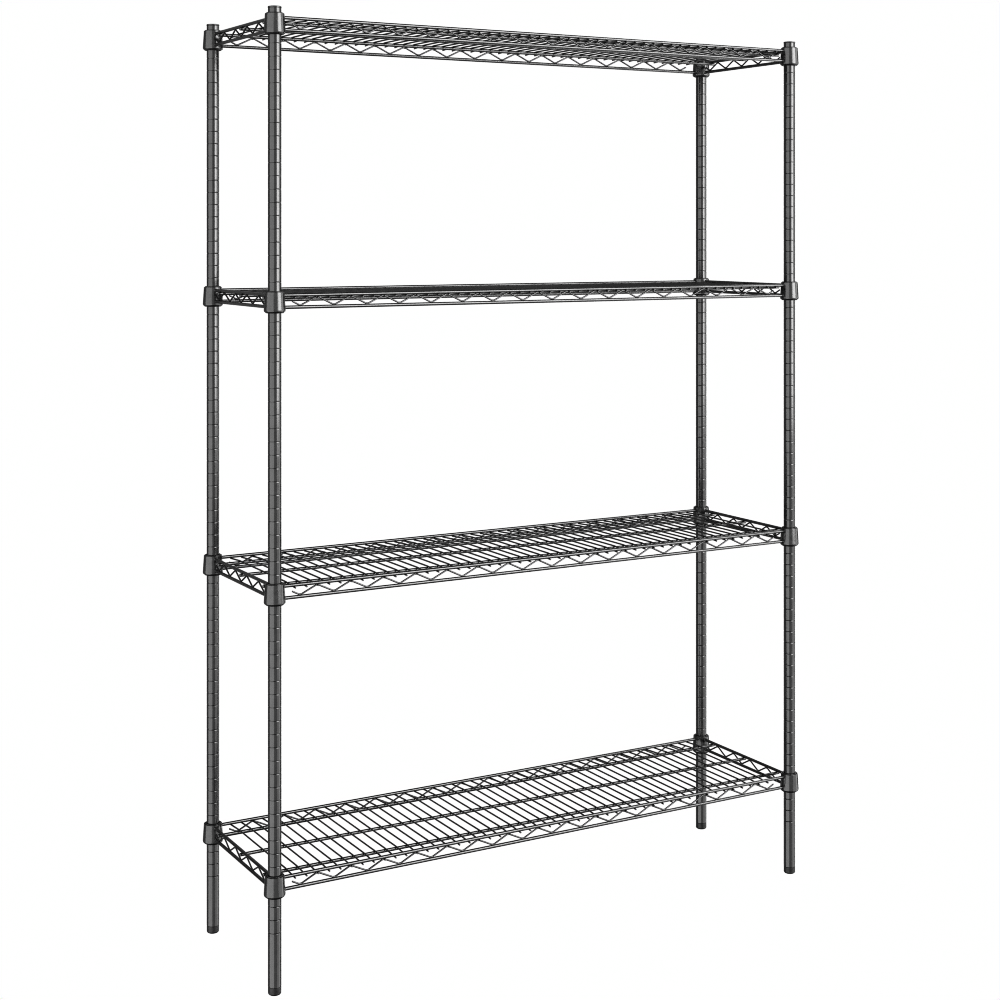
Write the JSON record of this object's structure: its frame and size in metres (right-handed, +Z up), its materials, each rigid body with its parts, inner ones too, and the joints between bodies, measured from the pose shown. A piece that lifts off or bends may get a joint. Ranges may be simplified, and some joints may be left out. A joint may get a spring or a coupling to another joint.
{
  "type": "wire shelving rack",
  "caption": "Tall free-standing wire shelving rack: grooved tubular posts, welded wire shelves wedged on split sleeves, levelling feet.",
  "frame": {"origin": "on the floor, in the middle of the posts", "axes": "+X along the long side, +Y from front to rear, +Z up"},
  "size_m": [1.299, 0.378, 1.892],
  "materials": {
    "epoxy_steel": "satin black epoxy powder coat over steel",
    "sleeve_plastic": "matt black moulded plastic",
    "black_plastic": "satin black moulded plastic",
    "foot_steel": "semi-matt black coated steel"
  },
  "bodies": {
    "root": {"post_front_left": "epoxy_steel", "post_cap_front_left": "black_plastic", "post_insert_front_left": "sleeve_plastic", "post_front_right": "epoxy_steel", "post_cap_front_right": "black_plastic", "post_insert_front_right": "sleeve_plastic", "post_rear_left": "epoxy_steel", "post_cap_rear_left": "black_plastic", "post_insert_rear_left": "sleeve_plastic", "post_rear_right": "epoxy_steel", "post_cap_rear_right": "black_plastic", "post_insert_rear_right": "sleeve_plastic", "sleeve_1_front_left_left_half": "sleeve_plastic", "sleeve_1_front_left_right_half": "sleeve_plastic", "sleeve_1_front_right_left_half": "sleeve_plastic", "sleeve_1_front_right_right_half": "sleeve_plastic", "sleeve_1_rear_left_left_half": "sleeve_plastic", "sleeve_1_rear_left_right_half": "sleeve_plastic", "sleeve_1_rear_right_left_half": "sleeve_plastic", "sleeve_1_rear_right_right_half": "sleeve_plastic", "sleeve_2_front_left_left_half": "sleeve_plastic", "sleeve_2_front_left_right_half": "sleeve_plastic", "sleeve_2_front_right_left_half": "sleeve_plastic", "sleeve_2_front_right_right_half": "sleeve_plastic", "sleeve_2_rear_left_left_half": "sleeve_plastic", "sleeve_2_rear_left_right_half": "sleeve_plastic", "sleeve_2_rear_right_left_half": "sleeve_plastic", "sleeve_2_rear_right_right_half": "sleeve_plastic", "sleeve_3_front_left_left_half": "sleeve_plastic", "sleeve_3_front_left_right_half": "sleeve_plastic", "sleeve_3_front_right_left_half": "sleeve_plastic", "sleeve_3_front_right_right_half": "sleeve_plastic", "sleeve_3_rear_left_left_half": "sleeve_plastic", "sleeve_3_rear_left_right_half": "sleeve_plastic", "sleeve_3_rear_right_left_half": "sleeve_plastic", "sleeve_3_rear_right_right_half": "sleeve_plastic", "sleeve_4_front_left_left_half": "sleeve_plastic", "sleeve_4_front_left_right_half": "sleeve_plastic", "sleeve_4_front_right_left_half": "sleeve_plastic", "sleeve_4_front_right_right_half": "sleeve_plastic", "sleeve_4_rear_left_left_half": "sleeve_plastic", "sleeve_4_rear_left_right_half": "sleeve_plastic", "sleeve_4_rear_right_left_half": "sleeve_plastic", "sleeve_4_rear_right_right_half": "sleeve_plastic"},
    "shelf_1": {"shelf_1_frame": "epoxy_steel", "shelf_1_deck": "epoxy_steel"},
    "shelf_2": {"shelf_2_frame": "epoxy_steel", "shelf_2_deck": "epoxy_steel"},
    "shelf_3": {"shelf_3_frame": "epoxy_steel", "shelf_3_deck": "epoxy_steel"},
    "shelf_4": {"shelf_4_frame": "epoxy_steel", "shelf_4_deck": "epoxy_steel"},
    "foot_front_left": {"levelling_foot_front_left": "foot_steel"},
    "foot_front_right": {"levelling_foot_front_right": "foot_steel"},
    "foot_rear_left": {"levelling_foot_rear_left": "foot_steel"},
    "foot_rear_right": {"levelling_foot_rear_right": "foot_steel"}
  },
  "joints": [
    {"name": "shelf_1_lift", "type": "slide", "parent": "root", "child": "shelf_1", "axis": [0, 0, 1], "range_m": [0, 0.51]},
    {"name": "shelf_2_lift", "type": "slide", "parent": "root", "child": "shelf_2", "axis": [0, 0, 1], "range_m": [0, 0.51]},
    {"name": "shelf_3_lift", "type": "slide", "parent": "root", "child": "shelf_3", "axis": [0, 0, 1], "range_m": [0, 0.485]},
    {"name": "shelf_4_lift", "type": "slide", "parent": "root", "child": "shelf_4", "axis": [0, 0, 1], "range_m": [0, 0.06]},
    {"name": "foot_front_left_screw", "type": "slide", "parent": "root", "child": "foot_front_left", "axis": [0, 0, -1], "range_m": [0, 0.025]},
    {"name": "foot_front_right_screw", "type": "slide", "parent": "root", "child": "foot_front_right", "axis": [0, 0, -1], "range_m": [0, 0.025]},
    {"name": "foot_rear_left_screw", "type": "slide", "parent": "root", "child": "foot_rear_left", "axis": [0, 0, -1], "range_m": [0, 0.025]},
    {"name": "foot_rear_right_screw", "type": "slide", "parent": "root", "child": "foot_rear_right", "axis": [0, 0, -1], "range_m": [0, 0.025]}
  ]
}
